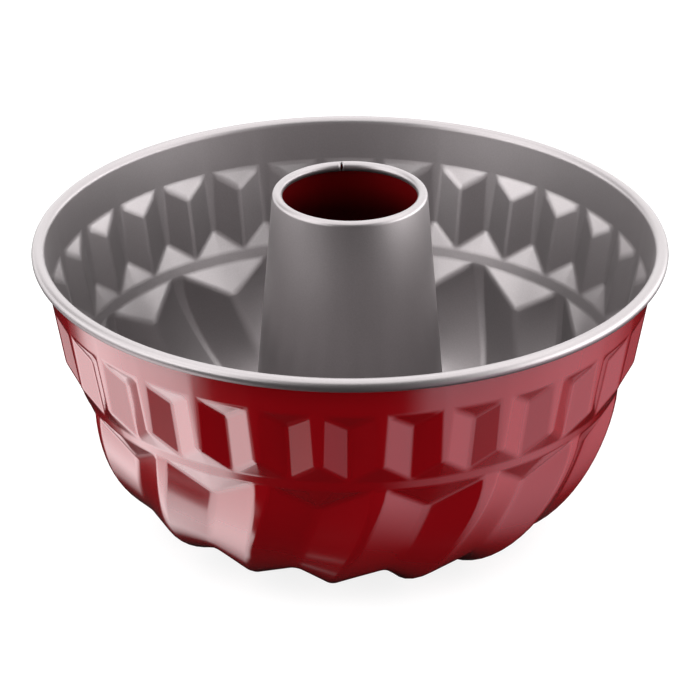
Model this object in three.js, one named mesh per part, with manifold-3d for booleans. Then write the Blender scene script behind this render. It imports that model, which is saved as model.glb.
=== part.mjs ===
import * as THREE from 'three';
import { mergeVertices } from 'three/addons/utils/BufferGeometryUtils.js';
import ManifoldModule from 'manifold-3d';

// Fluted ring cake tin: a deep-drawn sheet-steel body with a rolled rim, a wire inside that rim,
// and a rolled centre tube clamped in the hole of the base. Millimetres, +Z up, table at Z = 0.

// Sheet and assembly
const sheetThickness = 0.7;
const assemblyGap = 0.3;

// Rolled rim, curled outward over the wire
const rimDiameter = 250;
const rimBeadRadius = 2.65;
const rimHeight = 115;
const rimCurlOpening = 1;
const rimCurlSteps = 10;
const wireSides = 6;

// Flutes: every lobe of the lower tier carries two pleats of the upper tier
const lobeCount = 15;
const pleatsPerLobe = 2;
const columnsPerPleat = 3;
const ridgeHalfWidth = 1.5;
const creaseWidth = 1;

// Upper tier of straight pleats below a plain collar
const collarDepth = 15.3;
const collarInset = 6.8;
const pleatRidgeLength = 24.3;
const pleatRidgeTaper = 4.4;
const pleatGrooveTopDrop = 6.5;
const pleatGrooveTopDepth = 2;
const pleatGrooveFootDrop = 7;
const pleatGrooveFootDepth = 2.9;

// Lower tier of swirled lobes below a plain ledge
const ledgeDrop = 6.7;
const ledgeStep = 2.2;
const recessTopDrop = 10.3;
const recessTopStep = 6.8;
const recessFootHeight = 12.7;
const recessFootSetback = 14.3;
const recessRoundness = 0.46;
const recessDraft = 2.07;
const crestRoundness = 0.77;
const crestDraft = 1.27;
const crestHalfWidthAtSeat = 2.4;
const swirlAngle = THREE.MathUtils.degToRad(13);
const swirlGrowth = 1.5;
const wallLevels = 7;

// Base: the lobes stand on small flats, and a raised land around the hole carries the tube
const seatLevel = THREE.MathUtils.degToRad(85);
const seatRampWidth = 3;
const landHeight = 2;
const landWidth = 4.4;

// Centre tube, clamped to the land between a flange and a swaged bead
const tubeFootRadius = 41.2;
const tubeTopRadius = 30.5;
const tubeTopAboveRim = 21.5;
const tubeColumns = 44;
const flangeInset = 0.8;
const lockBeadHeight = 2.6;
const lockBeadReach = 1.7;
const lockBeadSteps = 4;

// Inward curl at the tube's mouth, split where the two ends of the rolled sheet meet
const tubeCurlRadius = 2;
const tubeCurlOpening = 1.3;
const tubeCurlSteps = 8;
const splitAngle = THREE.MathUtils.degToRad(187);
const splitWidth = 1.8;
const splitRemainder = 0.8;

// Sizes that follow from the ones above
const outerRadius = rimDiameter / 2;
const rimRadius = outerRadius - rimBeadRadius;
const rimCurlInnerRadius = rimBeadRadius - sheetThickness;
const rimCurlEnd = Math.acos((rimCurlInnerRadius - rimCurlOpening) / rimBeadRadius);
const rimCurlSweep = 2 * Math.PI - rimCurlEnd;
const wireRadius = rimCurlInnerRadius * Math.cos(rimCurlSweep / rimCurlSteps / 2) - assemblyGap;
const lobeStep = 2 * Math.PI / lobeCount;
const pleatStep = lobeStep / pleatsPerLobe;
const columnsPerLobe = pleatsPerLobe * columnsPerPleat;
const columnCount = lobeCount * columnsPerLobe;
const collarRadius = outerRadius - collarInset;
const collarHeight = rimHeight - collarDepth;
const ridgeFootHeight = collarHeight - pleatRidgeLength;
const grooveTopHeight = collarHeight - pleatGrooveTopDrop;
const grooveFootHeight = ridgeFootHeight - pleatGrooveFootDrop;
const grooveTopRadius = ridgeRadius(grooveTopHeight) - pleatGrooveTopDepth;
const grooveFootRadius = ridgeRadius(grooveFootHeight) - pleatGrooveFootDepth;
const ledgeRadius = grooveFootRadius - ledgeStep;
const ledgeHeight = grooveFootHeight - ledgeDrop;
const recessTopRadius = ledgeRadius - recessTopStep;
const recessTopHeight = ledgeHeight - recessTopDrop;
const holeRadius = (tubeFootRadius + assemblyGap) / Math.cos(lobeStep / 8);
const landOuterRadius = holeRadius + landWidth;
const seatInnerRadius = landOuterRadius + seatRampWidth;
const recessFootRadius = seatInnerRadius + recessFootSetback;
const tubeCurlCentre = tubeTopRadius - tubeCurlRadius;
const tubeCurlHeight = rimHeight + tubeTopAboveRim;
const tubeCurlEnd = (tubeCurlRadius - sheetThickness - tubeCurlOpening) / tubeCurlRadius;
const tubeCurlSweep = 2 * Math.PI - Math.acos(tubeCurlEnd);

// Straight line of the pleats' ridges, carried on below their feet
function ridgeRadius(height) {
  return collarRadius - pleatRidgeTaper * (collarHeight - height) / pleatRidgeLength;
}

// Angles start at the front of the tin and run counter-clockwise seen from above
function pointAt(radius, angle, height) {
  return new THREE.Vector3(radius * Math.sin(angle), -radius * Math.cos(angle), height);
}

function crestAngle(lobe) {
  return lobeStep / 4 + lobe * lobeStep;
}

function plainRing(radius, height) {
  const row = [];
  for (let column = 0; column < columnCount; column += 1) {
    const angle = crestAngle(0) + (column - 0.5) * lobeStep / columnsPerLobe;
    row.push(pointAt(radius, angle, height));
  }
  return row;
}

// A ring whose points lie above and below the ridges and grooves of the pleats
function creaseRing(radius, height) {
  return pleatRow({ radius, height }, { radius, height });
}

// One level of the upper tier: rounded ridges with a groove midway between neighbours
function pleatRow(ridge, groove) {
  const row = [];
  const halfAngle = ridgeHalfWidth / ridge.radius;
  for (let pleat = 0; pleat < lobeCount * pleatsPerLobe; pleat += 1) {
    const ridgeAngle = crestAngle(0) + pleat * pleatStep;
    row.push(pointAt(ridge.radius, ridgeAngle - halfAngle, ridge.height));
    row.push(pointAt(ridge.radius, ridgeAngle + halfAngle, ridge.height));
    row.push(pointAt(groove.radius, ridgeAngle + pleatStep / 2, groove.height));
  }
  return row;
}

// The lobes turn clockwise, seen from above, as the wall goes down
function swirl(height) {
  const share = THREE.MathUtils.clamp(1 - height / ledgeHeight, 0, 1);
  return -swirlAngle * share ** swirlGrowth;
}

// Curved profile of a lobe's crest; level is 0 at the ledge and a right angle at the seat
function crestPoint(level) {
  const radius = seatInnerRadius + (ledgeRadius - seatInnerRadius) * Math.cos(level) ** crestRoundness;
  const height = level < seatLevel ? ledgeHeight * (1 - Math.sin(level) ** crestDraft) : 0;
  return { radius, height };
}

function recessPoint(level) {
  const reach = recessTopRadius - recessFootRadius;
  const rise = recessTopHeight - recessFootHeight;
  const radius = recessFootRadius + reach * Math.cos(level) ** recessRoundness;
  const height = recessFootHeight + rise * (1 - Math.sin(level) ** recessDraft);
  return { radius, height };
}

// One level of the lower tier: crest, flat flank, recess, flat flank
function lobeRow(level) {
  const crest = crestPoint(level);
  const recess = recessPoint(level);
  const share = level / (Math.PI / 2);
  const crestHalfWidth = THREE.MathUtils.lerp(ridgeHalfWidth, crestHalfWidthAtSeat, share);
  const crestHalfAngle = crestHalfWidth / crest.radius;
  const recessHalfAngle = ridgeHalfWidth / recess.radius;
  const row = [];
  for (let lobe = 0; lobe < lobeCount; lobe += 1) {
    const crestTurn = crestAngle(lobe) + swirl(crest.height);
    const recessTurn = crestAngle(lobe) + lobeStep / 2 + swirl(recess.height);
    const crestLeft = pointAt(crest.radius, crestTurn - crestHalfAngle, crest.height);
    const crestRight = pointAt(crest.radius, crestTurn + crestHalfAngle, crest.height);
    const recessLeft = pointAt(recess.radius, recessTurn - recessHalfAngle, recess.height);
    const recessRight = pointAt(recess.radius, recessTurn + recessHalfAngle, recess.height);
    const nextCrest = pointAt(crest.radius, crestTurn + lobeStep - crestHalfAngle, crest.height);
    row.push(crestLeft);
    row.push(crestRight);
    row.push(crestRight.clone().lerp(recessLeft, 0.5));
    row.push(recessLeft);
    row.push(recessRight);
    row.push(recessRight.clone().lerp(nextCrest, 0.5));
  }
  return row;
}

// The lobes' lowest level drawn in to a ring of the base
function baseRing(radius, height) {
  return lobeRow(Math.PI / 2).map((point) => {
    const scale = radius / Math.hypot(point.x, point.y);
    return new THREE.Vector3(point.x * scale, point.y * scale, height);
  });
}

// Angle-weighted normal of a grid point, and the mean cosine between it and the faces around it
function gridNormal(rows, rowIndex, column) {
  const count = rows[rowIndex].length;
  const here = rows[rowIndex][column];
  const left = (column + count - 1) % count;
  const right = (column + 1) % count;
  const above = rows[rowIndex + 1];
  const below = rows[rowIndex - 1];
  const around = [];
  if (above) {
    around.push([rows[rowIndex][right], above[column]]);
    around.push([above[column], rows[rowIndex][left]]);
  }
  if (below) {
    around.push([rows[rowIndex][left], below[column]]);
    around.push([below[column], rows[rowIndex][right]]);
  }
  const faces = around.map(([first, second]) => {
    const a = first.clone().sub(here);
    const b = second.clone().sub(here);
    return { normal: a.clone().cross(b).normalize(), weight: a.angleTo(b) };
  });
  const normal = new THREE.Vector3();
  let weightSum = 0;
  for (const face of faces) {
    normal.addScaledVector(face.normal, face.weight);
    weightSum += face.weight;
  }
  normal.normalize();
  let cosine = 0;
  for (const face of faces) {
    cosine += face.weight * face.normal.dot(normal) / weightSum;
  }
  return { normal, cosine };
}

// Sheet metal from one of its two faces: the rows of that face, thickened away from their normals
function sheetGeometry(rows, thickness) {
  const columns = rows[0].length;
  const backRows = rows.map((row, rowIndex) => row.map((point, column) => {
    const { normal, cosine } = gridNormal(rows, rowIndex, column);
    return point.clone().addScaledVector(normal, -thickness / cosine);
  }));
  const positions = [];
  for (const row of [...rows, ...backRows]) {
    for (const point of row) {
      positions.push(point.x, point.y, point.z);
    }
  }
  const front = (rowIndex, column) => rowIndex * columns + column % columns;
  const back = (rowIndex, column) => (rows.length + rowIndex) * columns + column % columns;
  const indices = [];
  for (let rowIndex = 0; rowIndex + 1 < rows.length; rowIndex += 1) {
    for (let column = 0; column < columns; column += 1) {
      const next = (column + 1) % columns;
      const rising = rows[rowIndex][column].distanceTo(rows[rowIndex + 1][next]);
      const falling = rows[rowIndex][next].distanceTo(rows[rowIndex + 1][column]);
      const corners = [[rowIndex, column], [rowIndex, next], [rowIndex + 1, next], [rowIndex + 1, column]];
      const order = rising <= falling ? [0, 1, 2, 0, 2, 3] : [0, 1, 3, 1, 2, 3];
      const loop = order.map((corner) => corners[corner]);
      indices.push(...loop.map(([row, place]) => front(row, place)));
      indices.push(...loop.map(([row, place]) => back(row, place)).reverse());
    }
  }
  const last = rows.length - 1;
  for (let column = 0; column < columns; column += 1) {
    const next = (column + 1) % columns;
    indices.push(front(0, next), front(0, column), back(0, column));
    indices.push(front(0, next), back(0, column), back(0, next));
    indices.push(front(last, column), front(last, next), back(last, next));
    indices.push(front(last, column), back(last, next), back(last, column));
  }
  const geometry = new THREE.BufferGeometry();
  geometry.setAttribute('position', new THREE.Float32BufferAttribute(positions, 3));
  geometry.setIndex(indices);
  return geometry;
}

// Drawn body, described by its outside face from the hole in the base up to the end of the rim's curl
function bodyGeometry() {
  const rows = [baseRing(holeRadius, landHeight), baseRing(landOuterRadius, landHeight)];
  rows.push(lobeRow(Math.PI / 2));
  for (let level = wallLevels; level >= 0; level -= 1) {
    rows.push(lobeRow(seatLevel * (level / wallLevels)));
  }
  rows.push(creaseRing(ledgeRadius, ledgeHeight + creaseWidth));
  rows.push(creaseRing(grooveFootRadius, grooveFootHeight));
  rows.push(pleatRow(
    { radius: ridgeRadius(ridgeFootHeight), height: ridgeFootHeight },
    { radius: grooveFootRadius, height: grooveFootHeight + creaseWidth },
  ));
  rows.push(pleatRow(
    { radius: ridgeRadius(collarHeight - creaseWidth), height: collarHeight - creaseWidth },
    { radius: grooveTopRadius, height: grooveTopHeight },
  ));
  rows.push(creaseRing(collarRadius, collarHeight));
  for (let step = 0; step <= rimCurlSteps; step += 1) {
    const turn = Math.PI - rimCurlSweep * step / rimCurlSteps;
    const radius = rimRadius + rimCurlInnerRadius * Math.cos(turn);
    rows.push(plainRing(radius, rimHeight + rimCurlInnerRadius * Math.sin(turn)));
  }
  return sheetGeometry(rows, sheetThickness);
}

function tubeRing(radius, height) {
  const row = [];
  for (let column = 0; column < tubeColumns; column += 1) {
    row.push(pointAt(radius, 2 * Math.PI * column / tubeColumns, height));
  }
  return row;
}

// Outside face of the tube: foot flange under the land, lock bead above it, cone, inward curl
function tubeRows() {
  const flangeHeight = landHeight - assemblyGap;
  const lockBeadFoot = landHeight + sheetThickness + assemblyGap;
  const rows = [
    tubeRing(landOuterRadius - flangeInset, flangeHeight),
    tubeRing(tubeFootRadius, flangeHeight),
  ];
  for (let step = 0; step <= lockBeadSteps; step += 1) {
    const share = step / lockBeadSteps;
    const reach = lockBeadReach * Math.sin(Math.PI * share);
    rows.push(tubeRing(tubeFootRadius + reach, lockBeadFoot + lockBeadHeight * share));
  }
  for (let step = 0; step <= tubeCurlSteps; step += 1) {
    const turn = tubeCurlSweep * step / tubeCurlSteps;
    const radius = tubeCurlCentre + tubeCurlRadius * Math.cos(turn);
    rows.push(tubeRing(radius, tubeCurlHeight + tubeCurlRadius * Math.sin(turn)));
  }
  return rows;
}

// Wedge that opens the curl toward the middle of the tube
function splitGeometry() {
  const inner = tubeCurlCentre - tubeCurlRadius * 2;
  const outline = new THREE.Shape();
  outline.moveTo(0, tubeTopRadius - splitRemainder);
  outline.lineTo(-splitWidth / 2, inner);
  outline.lineTo(splitWidth / 2, inner);
  outline.closePath();
  const geometry = new THREE.ExtrudeGeometry(outline, { depth: tubeCurlRadius * 4, bevelEnabled: false });
  geometry.translate(0, 0, tubeCurlHeight - tubeCurlRadius * 2);
  geometry.rotateZ(splitAngle - Math.PI);
  return geometry;
}

const manifold = await ManifoldModule();
manifold.setup();

function toSolid(geometry) {
  const bare = new THREE.BufferGeometry();
  bare.setAttribute('position', geometry.getAttribute('position'));
  bare.setIndex(geometry.getIndex());
  const merged = mergeVertices(bare, 1e-4);
  return new manifold.Manifold(new manifold.Mesh({
    numProp: 3,
    vertProperties: new Float32Array(merged.getAttribute('position').array),
    triVerts: new Uint32Array(merged.getIndex().array),
  }));
}

function toGeometry(solid) {
  const mesh = solid.getMesh();
  const geometry = new THREE.BufferGeometry();
  geometry.setAttribute('position', new THREE.Float32BufferAttribute(mesh.vertProperties, 3));
  geometry.setIndex(Array.from(mesh.triVerts));
  return geometry;
}

function tubeGeometry() {
  const whole = toSolid(sheetGeometry(tubeRows(), sheetThickness));
  return toGeometry(whole.subtract(toSolid(splitGeometry())));
}

// Round wire ring that the rim is rolled around
function wireGeometry() {
  const outline = [];
  for (let side = 0; side <= wireSides; side += 1) {
    const turn = 2 * Math.PI * side / wireSides;
    outline.push(new THREE.Vector2(
      rimRadius + wireRadius * Math.cos(turn),
      rimHeight + wireRadius * Math.sin(turn),
    ));
  }
  const geometry = new THREE.LatheGeometry(outline, columnCount);
  geometry.rotateX(Math.PI / 2);
  return geometry;
}

function piece(name, geometry, settings) {
  geometry.computeVertexNormals();
  const mesh = new THREE.Mesh(geometry, new THREE.MeshStandardMaterial(settings));
  mesh.name = name;
  return mesh;
}

const cakeTin = new THREE.Group();
cakeTin.name = 'fluted_ring_cake_tin';
cakeTin.add(piece('pan_body', bodyGeometry(), { color: '#8c1019', roughness: 0.2, metalness: 0.1 }));
cakeTin.add(piece('centre_tube', tubeGeometry(), { color: '#757072', roughness: 0.4, metalness: 0.5 }));
cakeTin.add(piece('rim_wire', wireGeometry(), { color: '#a8a8a8', roughness: 0.35, metalness: 1 }));

export default cakeTin;
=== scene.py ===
"""Fluted ring cake tin on a pale studio floor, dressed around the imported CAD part.

The drawn body is one lobe's cage repeated around the axis, rounded at its creases and thickened to
sheet metal. The tube is a narrow strip of its profile repeated the same way. Lengths are in metres.
"""

import math

import bmesh
import bpy
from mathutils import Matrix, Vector


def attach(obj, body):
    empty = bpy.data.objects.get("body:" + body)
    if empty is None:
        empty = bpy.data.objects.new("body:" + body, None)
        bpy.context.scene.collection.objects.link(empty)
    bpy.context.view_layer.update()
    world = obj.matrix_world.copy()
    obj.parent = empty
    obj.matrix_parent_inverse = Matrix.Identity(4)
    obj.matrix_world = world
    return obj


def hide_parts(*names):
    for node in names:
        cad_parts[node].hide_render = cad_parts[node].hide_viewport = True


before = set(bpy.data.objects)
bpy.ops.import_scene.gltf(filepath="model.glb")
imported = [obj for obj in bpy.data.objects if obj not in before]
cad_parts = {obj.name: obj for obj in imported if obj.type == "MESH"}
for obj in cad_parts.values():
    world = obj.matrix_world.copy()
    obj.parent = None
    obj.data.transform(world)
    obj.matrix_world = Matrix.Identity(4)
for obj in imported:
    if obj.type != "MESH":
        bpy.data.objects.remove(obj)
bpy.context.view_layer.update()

bl_info = {
    "name": "Fluted ring cake tin",
    "version": (1, 0, 0),
    "blender": (4, 5, 0),
    "location": "3D View > Sidebar > Cake tin",
    "description": "Builds a lacquered steel ring cake tin and a small studio around it",
    "category": "Add Mesh",
}

MM = 0.001
BODY = "root"

# Points of a cage that are closer than the first distance are one. Copies of a sector join over the second.
SAME_PLACE = 0.002 * MM
JOIN_DISTANCE = 5 * SAME_PLACE

# Divisions of the curved stretches.
CURVE_SAMPLES = 240
WALL_LEVELS = 20
RIM_CURL_STEPS = 18
TUBE_CURL_STEPS = 16
TUBE_CONE_STEPS = 12
TUBE_STRIPS = 144
LOCK_BEAD_STEPS = 8
WIRE_RING_STEPS = 180
WIRE_SECTION_STEPS = 16
# Columns from one ridge to the next.
PLEAT_COLUMNS = 6
# No flat of the hole in the base is wider than a lobe divided by this.
HOLE_FLATS = 4
# A column of the rim that is wider than this many halves of a ridge's land is divided in two.
WIDE_COLUMN = 1.5

# Widths of the body's rounded creases in millimetres. The bevel's weights are shares of the widest rounding.
ROUNDINGS = {
    "collar foot": 1.3, "pocket top": 1.8, "pocket foot": 1.5, "groove": 1.2, "ridge edge": 1.0,
    "ridge foot": 1.2, "ledge": 0.9, "recess top": 1.6, "crest edge": 0.9, "recess": 2.2, "lobe foot": 1.2,
    "land": 0.8,
}
WIDEST_ROUNDING = 3.0 * MM
ROUNDING_STEPS = 4

# Powers that bend the sections of the lower tier: of the cosine outward, then of the sine downward.
CREST_BEND = (0.77, 1.27)
RECESS_BEND = (0.46, 2.07)
# From this angle along its section on, a crest lies flat on the table.
CREST_FLAT = math.radians(85)
# Powers of the swirl down a lobe, and of the widening of a crest's land up to the ledge.
SWIRL_BEND = 1.5
CREST_FLARE = 4

# Sizes of the patterns in the coats and on the wire.
LACQUER_CLOUD = 40 * MM
LACQUER_PEEL = 2.5 * MM
LACQUER_PEEL_DEPTH = 0.2 * MM
COAT_GRAIN = 0.6 * MM
COAT_GRAIN_DEPTH = 0.1 * MM
WIRE_MARK = 1.5 * MM
# Depths below the tube's mouth between which painted shade darkens its lacquer.
SHADE_START_DEPTH = 3 * MM
SHADE_FULL_DEPTH = 22 * MM

FLOOR_REACH = 4.0
FLOOR_HEIGHT = -0.2 * MM
FLOOR_GLOW = 0.93
# Painted shadow on a ground under the tin: dark as far as the first radius from the axis, clear beyond the
# second.
DARK_GROUND = 66 * MM
CLEAR_GROUND = 112 * MM
GROUND_HEIGHT = -0.4 * MM
SENSOR_WIDTH = 36.0

# Settings of a panel's brightness and colour, then the azimuths where it starts and ends and the widths of
# its soft edges there, then the same for its elevations, in degrees. Azimuth 0 is the camera's side, 90 the
# right.
PANELS = (
    ("left_table_brightness", "left_table_colour", (-132, -68, 22, 18), (-58, -30, 8, 12)),
    ("left_near_brightness", "left_table_colour", (-140, -72, 22, 10), (-69, -58, 8, 8)),
    ("left_corner_brightness", "left_table_colour", (-150, -132, 16, 22), (-60, -46, 12, 20)),
    ("left_fill_brightness", "left_table_colour", (-72, -50, 12, 10), (-54, -45, 8, 4)),
    ("left_wall_brightness", "panel_colour", (-144, -68, 24, 24), (-18, 14, 16, 16)),
    ("left_brightness", "panel_colour", (-118, -38, 40, 30), (3, 58, 14, 20)),
    ("front_left_brightness", "panel_colour", (-70, -34, 16, 16), (2, 24, 8, 14)),
    ("right_brightness", "panel_colour", (48, 105, 44, 24), (-20, 58, 16, 20)),
    ("right_wall_brightness", "panel_colour", (62, 138, 24, 24), (-18, 14, 16, 16)),
    ("right_table_brightness", "right_table_colour", (31, 122, 20, 64), (-58, -20, 34, 16)),
    ("back_brightness", "panel_colour", (105, 220, 24, 30), (-8, 58, 16, 20)),
    ("top_brightness", "panel_colour", (-180, 180, 0.1, 0.1), (50, 130, 28, 28)),
)


def linear(hex_colour):
    """Linear RGBA of an sRGB hex colour."""
    parts = [int(hex_colour[place:place + 2], 16) / 255 for place in (1, 3, 5)]
    return tuple(c / 12.92 if c <= 0.04045 else ((c + 0.055) / 1.055) ** 2.4 for c in parts) + (1.0,)


def length(name, millimetres, description):
    """A length that shows in the sidebar in the scene's units."""
    return bpy.props.FloatProperty(
        name=name, description=description, default=millimetres * MM, min=0.0, precision=5, unit="LENGTH",
    )


def colour(name, hex_colour, description):
    """A colour that shows in the sidebar."""
    return bpy.props.FloatVectorProperty(
        name=name, description=description, default=linear(hex_colour),
        size=4, min=0.0, max=1.0, subtype="COLOR",
    )


def amount(name, default, description):
    """A plain number that shows in the sidebar."""
    return bpy.props.FloatProperty(name=name, description=description, default=default, min=0.0)


def degrees(name, value, description):
    """An angle that shows in the sidebar in degrees."""
    return bpy.props.FloatProperty(
        name=name, description=description, default=math.radians(value), subtype="ANGLE",
    )


class TinBodySizes(bpy.types.PropertyGroup):
    """Sizes of the drawn body, close to the CAD part's.

    Grooves are deeper and the ledge is lower here, because the rounding of the creases takes from them.
    """

    sheet: length("Sheet", 0.7, "Thickness of the coated steel sheet")
    rim_diameter: length("Rim diameter", 250, "Across the outside of the rolled rim")
    rim_height: length("Rim height", 115, "Middle of the rolled rim above the table")
    bead_radius: length("Bead radius", 2.65, "Outside radius of the rolled rim's section")
    curl_opening: length("Curl opening", 1, "Gap between the end of the rim's curl and the wall")
    lobes: bpy.props.IntProperty(name="Lobes", description="Swirled lobes around the tin", default=15, min=3)
    collar_depth: length("Collar depth", 15.3, "Plain collar below the middle of the rim")
    collar_inset: length("Collar inset", 6.8, "Foot of the collar inside the rim's edge")
    ridge_land: length("Ridge land", 4.4, "Width of the land along a ridge, at the collar")
    ridge_land_foot: length("Ridge land foot", 2.4, "Width of the land along a ridge, at its foot")
    ridge_length: length("Ridge length", 24.3, "Height of a pleat's ridge")
    ridge_taper: length("Ridge taper", 4.4, "Inward run of a pleat's ridge over its height")
    groove_top_drop: length("Groove top drop", 6.5, "Top of a groove below the collar")
    groove_top_depth: length("Groove top depth", 2.8, "Depth of a groove at its top")
    groove_foot_drop: length("Groove foot drop", 8.1, "Foot of a groove below the ridges' feet")
    groove_foot_depth: length("Groove foot depth", 3.3, "Depth of a groove at its foot")
    ledge_drop: length("Ledge drop", 4.5, "Height of the plain ledge between the tiers")
    ledge_step: length("Ledge step", 1.5, "Inward run of the ledge")
    recess_top_drop: length("Recess top drop", 11.4, "Top of a recess below the ledge")
    recess_top_step: length("Recess top step", 6.8, "Top of a recess inside the ledge")
    recess_foot_height: length("Recess foot height", 12.7, "Foot of a recess above the table")
    recess_foot_setback: length("Recess foot setback", 14.3, "Foot of a recess outside the seat")
    land_height: length("Land height", 2, "Underside of the raised land above the table")
    land_width: length("Land width", 4.4, "Width of the land around the hole")
    seat_ramp: length("Seat ramp", 3, "Run of the ramp between land and seat")
    crest_land_top: length(
        "Crest land at the ledge", 6, "Width of the land along a lobe's crest at the ledge",
    )
    crest_land: length("Crest land", 2.2, "Width of the land along a lobe's crest at the seat")
    swirl: degrees("Swirl", 13, "Turn of the lobes from the ledge to the table")


class TinTubeSizes(bpy.types.PropertyGroup):
    """Sizes of the centre tube, the CAD part's apart from the split, which is shorter here."""

    foot_radius: length("Foot radius", 41.2, "Outside radius at the foot")
    top_radius: length("Top radius", 30.5, "Outside radius at the mouth")
    top_above_rim: length("Top above rim", 21.5, "Middle of the mouth's curl above the middle of the rim")
    curl_radius: length("Curl radius", 2, "Outside radius of the mouth's curl")
    curl_opening: length("Curl opening", 1.3, "Gap between the end of the curl and the wall")
    fit: length("Fit", 0.3, "Gap to the body at the crimped joint")
    flange_inset: length("Flange inset", 0.8, "Edge of the flange inside the land's edge")
    lock_bead_height: length("Lock bead height", 2.6, "Height of the swaged bead above the land")
    lock_bead_reach: length("Lock bead reach", 1.7, "Outward reach of the swaged bead")
    split_width: length("Split width", 3.6, "Width of the split in the mouth's curl")
    split_remainder: length("Split remainder", 2, "Metal left outside the split")
    split_angle: degrees("Split angle", 187, "Split from the front, counter-clockwise seen from above")


class TinFinish(bpy.types.PropertyGroup):
    """Colours of the coats."""

    lacquer: colour("Lacquer", "#92040e", "Red baked lacquer on the outside")
    lacquer_deep: colour("Deep lacquer", "#88030c", "The lacquer where it lies thicker")
    # The tube's inner lacquer is painted shade: darker than the outside's lacquer, and darker still further
    # down the tube.
    shaded_lacquer_mouth: colour("Thin lacquer", "#a0060e", "Lacquer in the tube's mouth, thin over dark steel")
    shaded_lacquer_deep: colour("Inner lacquer", "#460204", "Lacquer further down inside the tube")
    coat: colour("Coat", "#9a9596", "Grey non-stick coat on the inside")
    coat_dark: colour("Dark coat", "#8c8788", "Darker grain of the non-stick coat")
    wire: colour("Wire", "#b4b4b2", "Steel wire in the rim")


class StudioSettings(bpy.types.PropertyGroup):
    """Light, floor and camera. A brightness of 1 looks like a white wall."""

    floor: colour("Floor", "#f4f4f4", "Glow of the pale studio floor")
    floor_shade: colour("Floor shade", "#7c7c7c", "What the floor adds of the light that falls on it")
    ground: colour("Ground", "#272727", "Shaded ground under the tin")
    panel_colour: colour("Panels", "#ffffff", "Colour of the panels and walls")
    left_table_colour: colour("Left table colour", "#fff4f6", "White table with a little of the tin's red")
    right_table_colour: colour("Right table colour", "#ffe0ed", "Shaded table with more of the tin's red")
    room_brightness: amount("Room", 0.01, "Brightness of the room between the panels")
    left_brightness: amount("Left panel", 2.8, "Brightness of the upper panel on the left")
    front_left_brightness: amount("Front left panel", 2.2, "Brightness of the small panel at the front left")
    left_wall_brightness: amount("Left wall", 2.0, "Brightness of the wall on the left")
    left_table_brightness: amount("Left table", 2.08, "Brightness of the lit table on the left")
    left_near_brightness: amount("Left table near", 1.8, "Brightness of the left table near the tin")
    left_corner_brightness: amount("Left corner", 1.55, "Brightness of the table's far corner on the left")
    left_fill_brightness: amount("Left fill", 0.46, "Brightness of the table's edge on the left")
    right_brightness: amount("Right panel", 2.6, "Brightness of the tall panel on the right")
    right_table_brightness: amount("Right table", 0.75, "Brightness of the lit table on the right")
    right_wall_brightness: amount("Right wall", 3.2, "Extra brightness of the wall on the right")
    back_brightness: amount("Back panel", 2.3, "Brightness of the panel behind the tin")
    top_brightness: amount("Top panel", 2.5, "Brightness of the panel overhead")
    camera_distance: length("Camera distance", 1754.5, "Camera from the middle of the rim")
    camera_elevation: degrees("Camera elevation", 24.90, "Camera above the level of the rim")
    camera_pitch: degrees("Camera pitch", 26.24, "Camera's tilt below the horizon")
    lens: bpy.props.FloatProperty(
        name="Lens", description="Focal length for a sensor 36 mm wide", default=229.57, min=1.0,
    )


def add_node(tree, kind, settings=None, inputs=None):
    """Adds a node, sets its properties, and gives its inputs values or links from other nodes' outputs."""
    node = tree.nodes.new(kind)
    for name, value in (settings or {}).items():
        setattr(node, name, value)
    for name, value in (inputs or {}).items():
        if isinstance(value, bpy.types.NodeSocket):
            tree.links.new(value, node.inputs[name])
        else:
            node.inputs[name].default_value = value
    return node


def ring_point(radius, angle, height):
    """Point at an angle from the front, counter-clockwise seen from above."""
    return Vector((radius * math.sin(angle), -radius * math.cos(angle), height))


def ring_row(radius, angles, height):
    """Points at some angles of a level ring."""
    return [ring_point(radius, angle, height) for angle in angles]


def curl_points(centre, radius, start, sweep, steps):
    """Radius and height of points along a curl in the section."""
    turns = [start + sweep * step / steps for step in range(steps + 1)]
    return [(centre[0] + radius * math.cos(turn), centre[1] + radius * math.sin(turn)) for turn in turns]


def even_points(curve, count):
    """Points at even lengths along a curve of the section, given as a function of 0 to 1."""
    dense = [Vector(curve(step / CURVE_SAMPLES)) for step in range(CURVE_SAMPLES + 1)]
    travelled = [0.0]
    for before, after in zip(dense, dense[1:]):
        travelled.append(travelled[-1] + (after - before).length)
    points = []
    place = 0
    for step in range(count + 1):
        goal = travelled[-1] * step / count
        while place < CURVE_SAMPLES - 1 and travelled[place + 1] < goal:
            place += 1
        share = (goal - travelled[place]) / (travelled[place + 1] - travelled[place])
        points.append(dense[place].lerp(dense[place + 1], min(share, 1.0)))
    return points


class Cage:
    """Faces of a sheet-metal cage that point outwards, and the edges to be rounded with their widths."""

    def __init__(self):
        self.mesh = bmesh.new()
        self.rounding = self.mesh.edges.layers.float.new("bevel_weight_edge")
        self.corners = {}

    def corner(self, point):
        """The one corner at a point."""
        key = tuple(round(value / SAME_PLACE) for value in point)
        if key not in self.corners:
            self.corners[key] = self.mesh.verts.new(point)
        return self.corners[key]

    def face(self, *points):
        """A face with its points counter-clockwise seen from outside."""
        self.mesh.faces.new([self.corner(point) for point in points])

    def strip(self, upper, lower):
        """Faces between two rows, each running to the right seen from outside."""
        for place in range(len(upper) - 1):
            self.face(upper[place], lower[place], lower[place + 1], upper[place + 1])

    def round_path(self, path, crease):
        """Rounds the edges along a path as that crease is rounded."""
        for before, after in zip(path, path[1:]):
            edge = self.mesh.edges.get((self.corner(before), self.corner(after)))
            edge[self.rounding] = ROUNDINGS[crease] * MM / WIDEST_ROUNDING

    def finish(self, name):
        """The cage as a plain mesh."""
        made = bpy.data.meshes.new(name)
        self.mesh.to_mesh(made)
        self.mesh.free()
        return made


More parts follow.
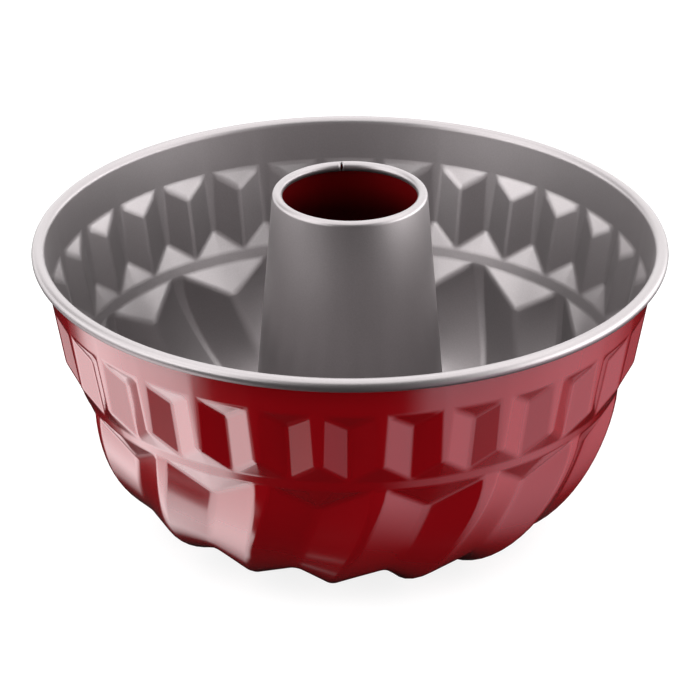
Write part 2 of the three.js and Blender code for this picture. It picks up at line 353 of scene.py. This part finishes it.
def hole_radius(body, tube):
    """Radius of the corners of the hole in the base, so that its flats clear the tube by the fit."""
    return (tube.foot_radius + tube.fit) / math.cos(math.tau / body.lobes / HOLE_FLATS / 2)


class LobeCage(Cage):
    """One lobe with its two pleats, from the crest on its left to the next crest."""

    def __init__(self, body, tube):
        super().__init__()
        self.body = body
        self.lobe = math.tau / body.lobes
        self.pleat = self.lobe / 2
        self.start = self.lobe / 4
        slope = body.ridge_taper / body.ridge_length
        self.collar_radius = body.rim_diameter / 2 - body.collar_inset
        self.collar_height = body.rim_height - body.collar_depth
        self.ridge_foot_radius = self.collar_radius - body.ridge_taper
        self.ridge_foot_height = self.collar_height - body.ridge_length
        self.foot_land = body.ridge_land_foot / 2 / self.ridge_foot_radius
        self.groove_top_radius = self.collar_radius - slope * body.groove_top_drop - body.groove_top_depth
        self.groove_top_height = self.collar_height - body.groove_top_drop
        foot_run = slope * body.groove_foot_drop
        self.groove_foot_radius = self.ridge_foot_radius - foot_run - body.groove_foot_depth
        self.groove_foot_height = self.ridge_foot_height - body.groove_foot_drop
        self.ledge_radius = self.groove_foot_radius - body.ledge_step
        self.ledge_height = self.groove_foot_height - body.ledge_drop
        self.hole_radius = hole_radius(body, tube)
        self.land_radius = self.hole_radius + body.land_width
        self.seat_radius = self.land_radius + body.seat_ramp
        columns, collar = self.rim()
        ledge_top = self.pleats(columns, collar)
        ledge = self.ledge(ledge_top)
        lobe_foot = self.lobe_wall(ledge)
        self.base(lobe_foot)

    def pleat_columns(self, land):
        """Angles across both pleats, for half a land's angle.

        A pleat has its ridge, the edge of the land, three in the pocket with the groove in the middle, and
        the edge of the next land. The last angle is that of the ridge after both.
        """
        across = [0.0] + [land + (self.pleat - 2 * land) * step / 4 for step in range(5)]
        turns = [self.start + turn for turn in across]
        turns += [self.start + self.pleat + turn for turn in across]
        return turns + [self.start + self.lobe]

    def rim(self):
        """The rolled rim and the plain collar. Gives the angles and points along the collar's foot."""
        body = self.body
        land = body.ridge_land / 2 / self.collar_radius
        columns = self.pleat_columns(land)
        rim_radius = body.rim_diameter / 2 - body.bead_radius
        curl_radius = body.bead_radius - body.sheet
        sweep = math.tau - math.acos((curl_radius - body.curl_opening) / body.bead_radius)
        curl = curl_points((rim_radius, body.rim_height), curl_radius, math.pi, -sweep, RIM_CURL_STEPS)
        collar = ring_row(self.collar_radius, columns, self.collar_height)
        for place, (before, after) in enumerate(zip(columns, columns[1:])):
            angles = [before, after]
            if after - before >= WIDE_COLUMN * land:
                angles.insert(1, (before + after) / 2)
            rows = [ring_row(radius, angles, height) for radius, height in curl]
            for lower, upper in zip(rows, rows[1:]):
                self.strip(upper, lower)
            self.face(rows[0][0], collar[place], collar[place + 1], *reversed(rows[0][1:]))
        return columns, collar

    def pleats(self, columns, collar):
        """The two pleats of the upper tier. Gives the points along the top of the ledge."""
        foot_columns = self.pleat_columns(self.foot_land)
        feet = ring_row(self.ridge_foot_radius, foot_columns, self.ridge_foot_height)
        ledge_top = ring_row(self.groove_foot_radius, foot_columns, self.groove_foot_height)
        for ridge in (0, PLEAT_COLUMNS):
            left, groove, right, after = ridge + 1, ridge + 3, ridge + 5, ridge + PLEAT_COLUMNS
            groove_top = ring_point(self.groove_top_radius, columns[groove], self.groove_top_height)
            groove_foot = ledge_top[groove]
            for edges in ((ridge, left), (right, after)):
                self.strip([collar[edge] for edge in edges], [feet[edge] for edge in edges])
                self.strip([feet[edge] for edge in edges], [ledge_top[edge] for edge in edges])
                self.round_path([feet[edge] for edge in edges], "ridge foot")
            for place in range(left, right):
                self.face(collar[place], groove_top, collar[place + 1])
                self.face(feet[left if place < groove else right], ledge_top[place], ledge_top[place + 1])
            self.face(collar[left], feet[left], groove_foot, groove_top)
            self.face(groove_top, groove_foot, feet[right], collar[right])
            self.round_path(collar[left:after], "collar foot")
            self.round_path([collar[left], groove_top, collar[right]], "pocket top")
            self.round_path([feet[left], groove_foot, feet[right]], "pocket foot")
            self.round_path([collar[left], feet[left]], "ridge edge")
            self.round_path([collar[right], feet[right]], "ridge edge")
            self.round_path([groove_top, groove_foot], "groove")
        return ledge_top

    def ledge(self, ledge_top):
        """The plain ledge between the tiers. Gives the points along its foot."""
        crest_half = self.body.crest_land_top / 2 / self.ledge_radius
        flank = self.pleat - self.foot_land - crest_half
        spread = [crest_half + flank * step / 4 for step in range(5)]
        spread = [0.0, *spread, self.pleat, *(self.lobe - turn for turn in reversed(spread)), self.lobe]
        ledge = ring_row(self.ledge_radius, [self.start + turn for turn in spread], self.ledge_height)
        self.strip(ledge_top, ledge)
        self.round_path(ledge_top, "ledge")
        self.round_path(ledge, "ledge")
        return ledge

    def crest_section(self, share):
        """Radius and height along a crest, from the ledge at 0 to the seat at 1."""
        level = share * math.pi / 2
        outward, downward = CREST_BEND
        height = self.ledge_height * (1 - math.sin(level) ** downward) if level < CREST_FLAT else 0.0
        return self.seat_radius + (self.ledge_radius - self.seat_radius) * math.cos(level) ** outward, height

    def recess_section(self, share):
        """Radius and height along the middle of a recess, from its top at 0 to its foot at 1."""
        body = self.body
        level = share * math.pi / 2
        outward, downward = RECESS_BEND
        top_radius = self.ledge_radius - body.recess_top_step
        foot_radius = self.seat_radius + body.recess_foot_setback
        rise = self.ledge_height - body.recess_top_drop - body.recess_foot_height
        radius = foot_radius + (top_radius - foot_radius) * math.cos(level) ** outward
        return radius, body.recess_foot_height + rise * (1 - math.sin(level) ** downward)

    def swirled(self, section, angle):
        """A point of a section, turned by the swirl at its height."""
        radius, height = section
        down = min(max(1 - height / self.ledge_height, 0.0), 1.0)
        return ring_point(radius, angle - self.body.swirl * down ** SWIRL_BEND, height)

    def lobe_wall(self, ledge):
        """The swirled wall of the lower tier. Gives the points along its foot."""
        body = self.body
        crests = even_points(self.crest_section, WALL_LEVELS)
        recesses = even_points(self.recess_section, WALL_LEVELS)
        # Columns: crest, edge of its land, two in the flank, recess, and the same backwards.
        left_edge, middle, right_edge = 1, 4, 7
        rows = []
        for place, (crest, recess) in enumerate(zip(crests, recesses)):
            flare = (1 - place / WALL_LEVELS) ** CREST_FLARE
            half = (flare * body.crest_land_top + (1 - flare) * body.crest_land) / 2 / crest[0]
            bottom = self.swirled(recess, self.start + self.pleat)
            left = self.swirled(crest, self.start + half)
            right = self.swirled(crest, self.start + self.lobe - half)
            row = [self.swirled(crest, self.start)] + [left.lerp(bottom, third / 3) for third in range(3)]
            row += [bottom.lerp(right, third / 3) for third in range(4)]
            row += [self.swirled(crest, self.start + self.lobe)]
            rows.append(row)
        # The ledge's 13 columns and the 9 of the top row share their ends and meet in triangles.
        top = rows[0]
        top[:2] = ledge[:2]
        top[right_edge:] = ledge[11:]
        for upper, lower in zip(range(1, 11), (2, 2, 3, 4, 4, 4, 4, 5, 6, 6)):
            self.face(ledge[upper], top[lower], ledge[upper + 1])
        for upper, lower in ((3, 2), (4, 3), (8, 4), (9, 5)):
            self.face(ledge[upper], top[lower], top[lower + 1])
        for upper, lower in zip(rows, rows[1:]):
            self.strip(upper, lower)
        self.round_path(top[left_edge:right_edge + 1], "recess top")
        self.round_path([row[left_edge] for row in rows], "crest edge")
        self.round_path([row[right_edge] for row in rows], "crest edge")
        self.round_path([row[middle] for row in rows], "recess")
        return rows[-1]

    def base(self, lobe_foot):
        """The ramp up from the seat, and the land around the hole."""
        angles = [math.atan2(point.x, -point.y) for point in lobe_foot]
        land = ring_row(self.land_radius, angles, self.body.land_height)
        hole = ring_row(self.hole_radius, angles, self.body.land_height)
        self.strip(lobe_foot, land)
        self.strip(land, hole)
        self.round_path(lobe_foot, "lobe foot")
        self.round_path(land, "land")


def tube_strip(body, tube):
    """A narrow strip of the tube's outside, from the flange under the land up to the end of the curl."""
    flange_height = body.land_height - tube.fit
    bend = 2 * body.sheet
    land_radius = hole_radius(body, tube) + body.land_width
    bead_foot = body.land_height + body.sheet + tube.fit
    curl_height = body.rim_height + tube.top_above_rim
    curl_centre = tube.top_radius - tube.curl_radius
    curl_end = math.acos((tube.curl_radius - body.sheet - tube.curl_opening) / tube.curl_radius)
    section = [(land_radius - tube.flange_inset, flange_height), (tube.foot_radius + bend, flange_height)]
    section += [(tube.foot_radius, flange_height + body.sheet)]
    for step in range(LOCK_BEAD_STEPS + 1):
        reach = tube.lock_bead_reach * math.sin(math.pi * step / LOCK_BEAD_STEPS) ** 2
        section.append((tube.foot_radius + reach, bead_foot + tube.lock_bead_height * step / LOCK_BEAD_STEPS))
    cone_foot = Vector(section[-1])
    cone_top = Vector((tube.top_radius, curl_height))
    section += [tuple(cone_foot.lerp(cone_top, step / TUBE_CONE_STEPS)) for step in range(1, TUBE_CONE_STEPS)]
    section += curl_points(
        (curl_centre, curl_height), tube.curl_radius, 0.0, math.tau - curl_end, TUBE_CURL_STEPS,
    )
    cage = Cage()
    rows = [ring_row(radius, (0.0, math.tau / TUBE_STRIPS), height) for radius, height in section]
    for lower, upper in zip(rows, rows[1:]):
        cage.strip(upper, lower)
    return cage.finish("centre_tube")


def new_tree(name, inputs):
    """A geometry nodes tree with a geometry output, and the sockets of its named inputs."""
    tree = bpy.data.node_groups.new(name, "GeometryNodeTree")
    tree.interface.new_socket("Geometry", in_out="OUTPUT", socket_type="NodeSocketGeometry")
    for socket, kind in inputs.items():
        tree.interface.new_socket(socket, in_out="INPUT", socket_type="NodeSocket" + kind)
    return tree, add_node(tree, "NodeGroupInput").outputs


def end_tree(tree, geometry, material):
    """Ends a geometry nodes tree with smooth shading and a material."""
    smooth = add_node(tree, "GeometryNodeSetShadeSmooth", inputs={"Geometry": geometry})
    coated = add_node(tree, "GeometryNodeSetMaterial", inputs={
        "Geometry": smooth.outputs[0], "Material": material,
    })
    add_node(tree, "NodeGroupOutput", inputs={"Geometry": coated.outputs[0]})


def repeat_tree():
    """Geometry nodes that repeat a piece's sector around the tin's axis and join the copies."""
    tree, given = new_tree("Repeat around the axis", {
        "Sector": "Geometry", "Copies": "Int", "Join distance": "Float", "Coat": "Material",
    })
    points = add_node(tree, "GeometryNodePoints", inputs={"Count": given["Copies"]})
    place = add_node(tree, "GeometryNodeInputIndex")
    share = add_node(
        tree, "ShaderNodeMath", {"operation": "DIVIDE"}, {0: place.outputs["Index"], 1: given["Copies"]},
    )
    turn = add_node(tree, "ShaderNodeMath", {"operation": "MULTIPLY"}, {0: share.outputs[0], 1: math.tau})
    turns = add_node(tree, "ShaderNodeCombineXYZ", inputs={"Z": turn.outputs[0]})
    copies = add_node(tree, "GeometryNodeInstanceOnPoints", inputs={
        "Points": points.outputs[0], "Instance": given["Sector"], "Rotation": turns.outputs[0],
    })
    real = add_node(tree, "GeometryNodeRealizeInstances", inputs={"Geometry": copies.outputs[0]})
    joined = add_node(tree, "GeometryNodeMergeByDistance", inputs={
        "Geometry": real.outputs[0], "Distance": given["Join distance"],
    })
    end_tree(tree, joined.outputs[0], given["Coat"])
    return tree


def wire_tree():
    """Geometry nodes that sweep a round section around a ring."""
    tree, given = new_tree("Wire ring", {
        "Geometry": "Geometry", "Ring radius": "Float", "Ring height": "Float", "Wire radius": "Float",
        "Steel": "Material",
    })
    ring = add_node(tree, "GeometryNodeCurvePrimitiveCircle", inputs={
        "Resolution": WIRE_RING_STEPS, "Radius": given["Ring radius"],
    })
    section = add_node(tree, "GeometryNodeCurvePrimitiveCircle", inputs={
        "Resolution": WIRE_SECTION_STEPS, "Radius": given["Wire radius"],
    })
    swept = add_node(tree, "GeometryNodeCurveToMesh", inputs={
        "Curve": ring.outputs[0], "Profile Curve": section.outputs[0],
    })
    lift = add_node(tree, "ShaderNodeCombineXYZ", inputs={"Z": given["Ring height"]})
    placed = add_node(tree, "GeometryNodeTransform", inputs={
        "Geometry": swept.outputs[0], "Translation": lift.outputs[0],
    })
    real = add_node(tree, "GeometryNodeRealizeInstances", inputs={"Geometry": placed.outputs[0]})
    end_tree(tree, real.outputs[0], given["Steel"])
    return tree


def new_object(name, mesh, materials):
    """An object at the origin, with the materials of its coats."""
    made = bpy.data.objects.new(name, mesh)
    for material in materials:
        mesh.materials.append(material)
    bpy.context.scene.collection.objects.link(made)
    return made


def add_tree(piece, tree, values):
    """Gives a piece a geometry nodes modifier and sets the tree's inputs by their identifiers."""
    modifier = piece.modifiers.new(tree.name, "NODES")
    modifier.node_group = tree
    for socket in tree.interface.items_tree:
        if socket.in_out == "INPUT" and socket.name in values:
            modifier[socket.identifier] = values[socket.name]


def settle(piece):
    """Turns a piece with modifiers into a plain mesh."""
    graph = bpy.context.evaluated_depsgraph_get()
    rough = piece.data
    piece.data = bpy.data.meshes.new_from_object(piece.evaluated_get(graph), depsgraph=graph)
    piece.modifiers.clear()
    piece.data.name = piece.name
    bpy.data.meshes.remove(rough)


def empty_material(name):
    """A material without nodes, and its tree."""
    material = bpy.data.materials.new(name)
    material.use_nodes = True
    material.node_tree.nodes.clear()
    return material, material.node_tree


def thicken(piece, sheet):
    """Gives a piece the sheet's thickness inwards, with its second coat on the inside."""
    thick = piece.modifiers.new("Sheet", "SOLIDIFY")
    thick.thickness = sheet
    thick.offset = -1.0
    thick.use_even_offset = True
    thick.material_offset = 1
    return thick


def red_lacquer(name, thin, thick, depth=None, metal=0.0, roughness=0.12):
    """Baked silicone lacquer on drawn steel: deep red, with a clear gloss and a faint orange peel.

    Its two colours mix in soft clouds, or from the first height of the depth to the second, where the darker
    colour is painted shade down the tube.
    """
    material, tree = empty_material(name)
    place = add_node(tree, "ShaderNodeTexCoord").outputs["Object"]
    flow = add_node(tree, "ShaderNodeTexNoise", inputs={
        "Vector": place, "Scale": 1 / LACQUER_CLOUD, "Detail": 2.0, "Roughness": 0.5,
    })
    share = flow.outputs["Fac"]
    # With a depth, the mix is painted shade: the darker colour further down the tube, the lighter one near
    # the mouth.
    if depth:
        height = add_node(tree, "ShaderNodeSeparateXYZ", inputs={0: place}).outputs["Z"]
        share = add_node(tree, "ShaderNodeMapRange", {"interpolation_type": "SMOOTHSTEP"}, {
            "Value": height, "From Min": depth[0], "From Max": depth[1],
        }).outputs[0]
    red = add_node(tree, "ShaderNodeMix", {"data_type": "RGBA"}, {0: share, 6: thick, 7: thin})
    peel = add_node(tree, "ShaderNodeTexNoise", inputs={
        "Vector": place, "Scale": 1 / LACQUER_PEEL, "Detail": 1.0,
    })
    bump = add_node(tree, "ShaderNodeBump", inputs={
        "Strength": 0.01, "Distance": LACQUER_PEEL_DEPTH, "Height": peel.outputs["Fac"],
    })
    shader = add_node(tree, "ShaderNodeBsdfPrincipled", inputs={
        "Base Color": red.outputs[2], "Metallic": metal, "Roughness": roughness, "IOR": 1.5,
        "Coat Weight": 1.0, "Coat Roughness": 0.12, "Coat IOR": 1.8, "Normal": bump.outputs[0],
    })
    add_node(tree, "ShaderNodeOutputMaterial", inputs={"Surface": shader.outputs[0]})
    return material


def grey_coat(finish):
    """Metallic non-stick coat sprayed on the inside: satin grey with a fine grain."""
    known = bpy.data.materials.get("grey_nonstick_coat")
    if known:
        return known
    material, tree = empty_material("grey_nonstick_coat")
    place = add_node(tree, "ShaderNodeTexCoord").outputs["Object"]
    # The real grain is about 0.1 mm and is drawn coarser so that it shows.
    grain = add_node(tree, "ShaderNodeTexNoise", inputs={
        "Vector": place, "Scale": 1 / COAT_GRAIN, "Detail": 2.0, "Roughness": 0.6,
    })
    grey = add_node(tree, "ShaderNodeMix", {"data_type": "RGBA"}, {
        0: grain.outputs["Fac"], 6: finish.coat_dark, 7: finish.coat,
    })
    satin = add_node(tree, "ShaderNodeMapRange", inputs={
        "Value": grain.outputs["Fac"], "To Min": 0.34, "To Max": 0.42,
    })
    bump = add_node(tree, "ShaderNodeBump", inputs={
        "Strength": 0.05, "Distance": COAT_GRAIN_DEPTH, "Height": grain.outputs["Fac"],
    })
    shader = add_node(tree, "ShaderNodeBsdfPrincipled", inputs={
        "Base Color": grey.outputs[2], "Metallic": 0.88, "Roughness": satin.outputs[0],
        "Normal": bump.outputs[0],
    })
    add_node(tree, "ShaderNodeOutputMaterial", inputs={"Surface": shader.outputs[0]})
    return material


def steel_wire(finish):
    """Drawn steel wire: bare metal with faint marks of the die along it."""
    material, tree = empty_material("drawn_steel_wire")
    place = add_node(tree, "ShaderNodeTexCoord").outputs["Object"]
    marks = add_node(tree, "ShaderNodeTexNoise", inputs={"Vector": place, "Scale": 1 / WIRE_MARK})
    dull = add_node(tree, "ShaderNodeMapRange", inputs={
        "Value": marks.outputs["Fac"], "To Min": 0.3, "To Max": 0.45,
    })
    shader = add_node(tree, "ShaderNodeBsdfPrincipled", inputs={
        "Base Color": finish.wire, "Metallic": 1.0, "Roughness": dull.outputs[0],
    })
    add_node(tree, "ShaderNodeOutputMaterial", inputs={"Surface": shader.outputs[0]})
    return material


class CAKETIN_OT_body(bpy.types.Operator):
    """Makes the drawn body: one lobe's cage, repeated, rounded at its creases and thickened"""

    bl_idname = "caketin.body"
    bl_label = "Drawn body"

    def execute(self, context):
        body = context.scene.tin_body
        finish = context.scene.tin_finish
        outside = red_lacquer("baked_red_lacquer", finish.lacquer, finish.lacquer_deep)
        inside = grey_coat(finish)
        cage = LobeCage(body, context.scene.tin_tube)
        piece = new_object("pan_body_sheet", cage.finish("pan_body"), [outside, inside])
        add_tree(piece, repeat_tree(), {
            "Copies": body.lobes, "Join distance": JOIN_DISTANCE, "Coat": outside,
        })
        rounded = piece.modifiers.new("Rounded creases", "BEVEL")
        rounded.limit_method = "WEIGHT"
        rounded.width = WIDEST_ROUNDING
        rounded.segments = ROUNDING_STEPS
        rounded.use_clamp_overlap = False
        thicken(piece, body.sheet).material_offset_rim = 1
        piece.modifiers.new("Flat facets", "WEIGHTED_NORMAL")
        settle(piece)
        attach(piece, BODY)
        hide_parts("pan_body")
        return {"FINISHED"}


class CAKETIN_OT_tube(bpy.types.Operator):
    """Makes the rolled centre tube with its crimped foot and its curled, split mouth"""

    bl_idname = "caketin.tube"
    bl_label = "Centre tube"

    def execute(self, context):
        body = context.scene.tin_body
        tube = context.scene.tin_tube
        finish = context.scene.tin_finish
        outside = grey_coat(finish)
        mouth = body.rim_height + tube.top_above_rim
        # Painted shade inside the tube: a darker lacquer that darkens further down.
        inside = red_lacquer(
            "thin_red_lacquer", finish.shaded_lacquer_mouth, finish.shaded_lacquer_deep,
            depth=(mouth - SHADE_FULL_DEPTH, mouth - SHADE_START_DEPTH), metal=0.7, roughness=0.4,
        )
        piece = new_object("centre_tube_sheet", tube_strip(body, tube), [outside, inside])
        add_tree(piece, repeat_tree(), {
            "Copies": TUBE_STRIPS, "Join distance": JOIN_DISTANCE, "Coat": outside,
        })
        thicken(piece, body.sheet)
        wedge = self.split_wedge(body, tube, outside)
        split = piece.modifiers.new("Split", "BOOLEAN")
        split.operation = "DIFFERENCE"
        split.solver = "EXACT"
        split.object = wedge
        piece.modifiers.new("Even shading", "WEIGHTED_NORMAL")
        settle(piece)
        bpy.data.meshes.remove(wedge.data)
        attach(piece, BODY)
        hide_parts("centre_tube")
        return {"FINISHED"}

    def split_wedge(self, body, tube, coat):
        """A wedge that opens the curl toward the middle of the tube."""
        middle = body.rim_height + tube.top_above_rim
        inner = tube.top_radius - 4 * tube.curl_radius
        half = tube.split_width / 2 / inner
        cage = Cage()
        low, high = (
            [
                ring_point(tube.top_radius - tube.split_remainder, tube.split_angle, height),
                ring_point(inner, tube.split_angle + half, height),
                ring_point(inner, tube.split_angle - half, height),
            ]
            for height in (middle - 2 * tube.curl_radius, middle + 2 * tube.curl_radius)
        )
        cage.face(*high)
        cage.face(*reversed(low))
        for place in range(3):
            after = (place + 1) % 3
            cage.face(low[place], low[after], high[after], high[place])
        bmesh.ops.recalc_face_normals(cage.mesh, faces=cage.mesh.faces)
        return new_object("split_wedge", cage.finish("split_wedge"), [coat])


class CAKETIN_OT_wire(bpy.types.Operator):
    """Makes the wire that the rim is rolled around"""

    bl_idname = "caketin.wire"
    bl_label = "Rim wire"

    def execute(self, context):
        body = context.scene.tin_body
        steel = steel_wire(context.scene.tin_finish)
        piece = new_object("rim_wire_round", bpy.data.meshes.new("rim_wire"), [steel])
        add_tree(piece, wire_tree(), {
            "Ring radius": body.rim_diameter / 2 - body.bead_radius,
            "Ring height": body.rim_height,
            "Wire radius": body.bead_radius - body.sheet - context.scene.tin_tube.fit,
            "Steel": steel,
        })
        settle(piece)
        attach(piece, BODY)
        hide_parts("rim_wire")
        return {"FINISHED"}


class CAKETIN_OT_studio(bpy.types.Operator):
    """Makes the floor, the surroundings with their panels of light, and the camera"""

    bl_idname = "caketin.studio"
    bl_label = "Studio"

    def execute(self, context):
        studio = context.scene.tin_studio
        context.scene.view_settings.view_transform = "Standard"
        self.floor(studio)
        self.ground(studio)
        self.surroundings(context.scene, studio)
        self.camera(context.scene, studio)
        return {"FINISHED"}

    def floor(self, studio):
        """A pale floor that shows the tin's shadow to the camera and is left out of light and reflections."""
        mesh = self.square("studio_floor", FLOOR_REACH, FLOOR_HEIGHT)
        material, tree = empty_material("pale_floor")
        lit = add_node(tree, "ShaderNodeBsdfDiffuse", inputs={"Color": studio.floor_shade})
        glow = add_node(tree, "ShaderNodeEmission", inputs={"Color": studio.floor, "Strength": FLOOR_GLOW})
        pale = add_node(tree, "ShaderNodeAddShader", inputs={0: lit.outputs[0], 1: glow.outputs[0]})
        add_node(tree, "ShaderNodeOutputMaterial", inputs={"Surface": pale.outputs[0]})
        made = new_object("studio_floor", mesh, [material])
        made.visible_diffuse = False
        made.visible_glossy = False
        made.visible_shadow = False

    def ground(self, studio):
        """Painted shadow: a dark ground below the floor, so that the tin's foot doesn't mirror light from
        under the tin.
        """
        mesh = self.square("shaded_ground", CLEAR_GROUND, GROUND_HEIGHT)
        material, tree = empty_material("shaded_ground")
        place = add_node(tree, "ShaderNodeTexCoord").outputs["Object"]
        away = add_node(tree, "ShaderNodeVectorMath", {"operation": "LENGTH"}, {0: place})
        share = add_node(tree, "ShaderNodeMapRange", {"interpolation_type": "SMOOTHSTEP"}, {
            "Value": away.outputs["Value"], "From Min": DARK_GROUND, "From Max": CLEAR_GROUND,
        })
        dark = add_node(tree, "ShaderNodeBsdfDiffuse", inputs={"Color": studio.ground})
        clear = add_node(tree, "ShaderNodeBsdfTransparent")
        mixed = add_node(tree, "ShaderNodeMixShader", inputs={
            0: share.outputs[0], 1: dark.outputs[0], 2: clear.outputs[0],
        })
        add_node(tree, "ShaderNodeOutputMaterial", inputs={"Surface": mixed.outputs[0]})
        new_object("shaded_ground", mesh, [material])

    def square(self, name, reach, height):
        """A level square around the axis."""
        mesh = bpy.data.meshes.new(name)
        corners = [(-reach, -reach), (reach, -reach), (reach, reach), (-reach, reach)]
        mesh.from_pydata([(x, y, height) for x, y in corners], [], [(0, 1, 2, 3)])
        return mesh

    def surroundings(self, scene, studio):
        """White behind the tin for the camera; for light and reflections a dark room with soft panels."""
        world = bpy.data.worlds.new("studio_room")
        scene.world = world
        world.use_nodes = True
        tree = world.node_tree
        tree.nodes.clear()
        way = add_node(tree, "ShaderNodeTexCoord")
        parts = add_node(tree, "ShaderNodeSeparateXYZ", inputs={0: way.outputs["Generated"]}).outputs
        front = add_node(tree, "ShaderNodeMath", {"operation": "MULTIPLY"}, {0: parts["Y"], 1: -1.0})
        azimuth = add_node(tree, "ShaderNodeMath", {"operation": "ARCTAN2"}, {
            0: parts["X"], 1: front.outputs[0],
        })
        elevation = add_node(tree, "ShaderNodeMath", {"operation": "ARCSINE"}, {0: parts["Z"]})
        light = [studio.room_brightness] * 3
        for setting, tint, turns, rises in PANELS:
            across = self.fade(tree, azimuth.outputs[0], *turns)
            upward = self.fade(tree, elevation.outputs[0], *rises)
            shape = add_node(tree, "ShaderNodeMath", {"operation": "MULTIPLY"}, {0: across, 1: upward})
            glow = [getattr(studio, setting) * part for part in getattr(studio, tint)[:3]]
            total = add_node(tree, "ShaderNodeVectorMath", {"operation": "MULTIPLY_ADD"}, {
                0: shape.outputs[0], 1: glow, 2: light,
            })
            light = total.outputs[0]
        room = add_node(tree, "ShaderNodeBackground", inputs={"Color": light, "Strength": 1.0})
        white = add_node(tree, "ShaderNodeBackground", inputs={"Color": linear("#ffffff"), "Strength": 1.0})
        ray = add_node(tree, "ShaderNodeLightPath")
        shown = add_node(tree, "ShaderNodeMixShader", inputs={
            0: ray.outputs["Is Camera Ray"], 1: room.outputs[0], 2: white.outputs[0],
        })
        add_node(tree, "ShaderNodeOutputWorld", inputs={"Surface": shown.outputs[0]})

    def fade(self, tree, angle, low, high, soft_low, soft_high):
        """1 between two angles and 0 outside, over a soft edge at each; all in degrees."""
        middle = (low + high) / 2
        half = (high - low) / 2
        away = add_node(tree, "ShaderNodeMath", {"operation": "SUBTRACT"}, {
            0: angle, 1: math.radians(middle),
        })
        near = add_node(tree, "ShaderNodeMath", {"operation": "WRAP"}, {
            0: away.outputs[0], 1: math.pi, 2: -math.pi,
        })
        spans = (
            (-half - soft_low / 2, soft_low / 2 - half),
            (half + soft_high / 2, half - soft_high / 2),
        )
        edges = {}
        for place, (outside, inside) in enumerate(spans):
            edges[place] = add_node(tree, "ShaderNodeMapRange", {"interpolation_type": "SMOOTHSTEP"}, {
                "Value": near.outputs[0], "From Min": math.radians(outside), "From Max": math.radians(inside),
            }).outputs[0]
        return add_node(tree, "ShaderNodeMath", {"operation": "MULTIPLY"}, edges).outputs[0]

    def camera(self, scene, studio):
        """The photograph's camera, in front of the tin and aimed a little below the middle of its rim."""
        lens = bpy.data.cameras.new("photo_camera")
        lens.sensor_width = SENSOR_WIDTH
        lens.lens = studio.lens
        made = bpy.data.objects.new("photo_camera", lens)
        away = studio.camera_elevation
        middle = Vector((0, 0, scene.tin_body.rim_height))
        made.location = middle + Vector((0, -math.cos(away), math.sin(away))) * studio.camera_distance
        made.rotation_euler = (math.pi / 2 - studio.camera_pitch, 0.0, 0.0)
        scene.collection.objects.link(made)
        scene.camera = made


class CAKETIN_PT_sidebar(bpy.types.Panel):
    """Buttons and sizes of the cake tin"""

    bl_idname = "CAKETIN_PT_sidebar"
    bl_label = "Cake tin"
    bl_space_type = "VIEW_3D"
    bl_region_type = "UI"
    bl_category = "Cake tin"

    def draw(self, context):
        for operator in OPERATORS:
            self.layout.operator(operator.bl_idname)
        for name in GROUPS:
            box = self.layout.box()
            group = getattr(context.scene, name)
            for field in group.__annotations__:
                box.prop(group, field)


GROUPS = {
    "tin_body": TinBodySizes, "tin_tube": TinTubeSizes, "tin_finish": TinFinish, "tin_studio": StudioSettings,
}
OPERATORS = (CAKETIN_OT_body, CAKETIN_OT_tube, CAKETIN_OT_wire, CAKETIN_OT_studio)


def register():
    for part in (*GROUPS.values(), *OPERATORS, CAKETIN_PT_sidebar):
        bpy.utils.register_class(part)
    for name, group in GROUPS.items():
        setattr(bpy.types.Scene, name, bpy.props.PointerProperty(type=group))


def unregister():
    for name in GROUPS:
        delattr(bpy.types.Scene, name)
    for part in (CAKETIN_PT_sidebar, *reversed(OPERATORS), *reversed(GROUPS.values())):
        bpy.utils.unregister_class(part)


def main():
    register()
    bpy.ops.caketin.studio()
    bpy.ops.caketin.body()
    bpy.ops.caketin.tube()
    bpy.ops.caketin.wire()


if __name__ == "__main__":
    main()
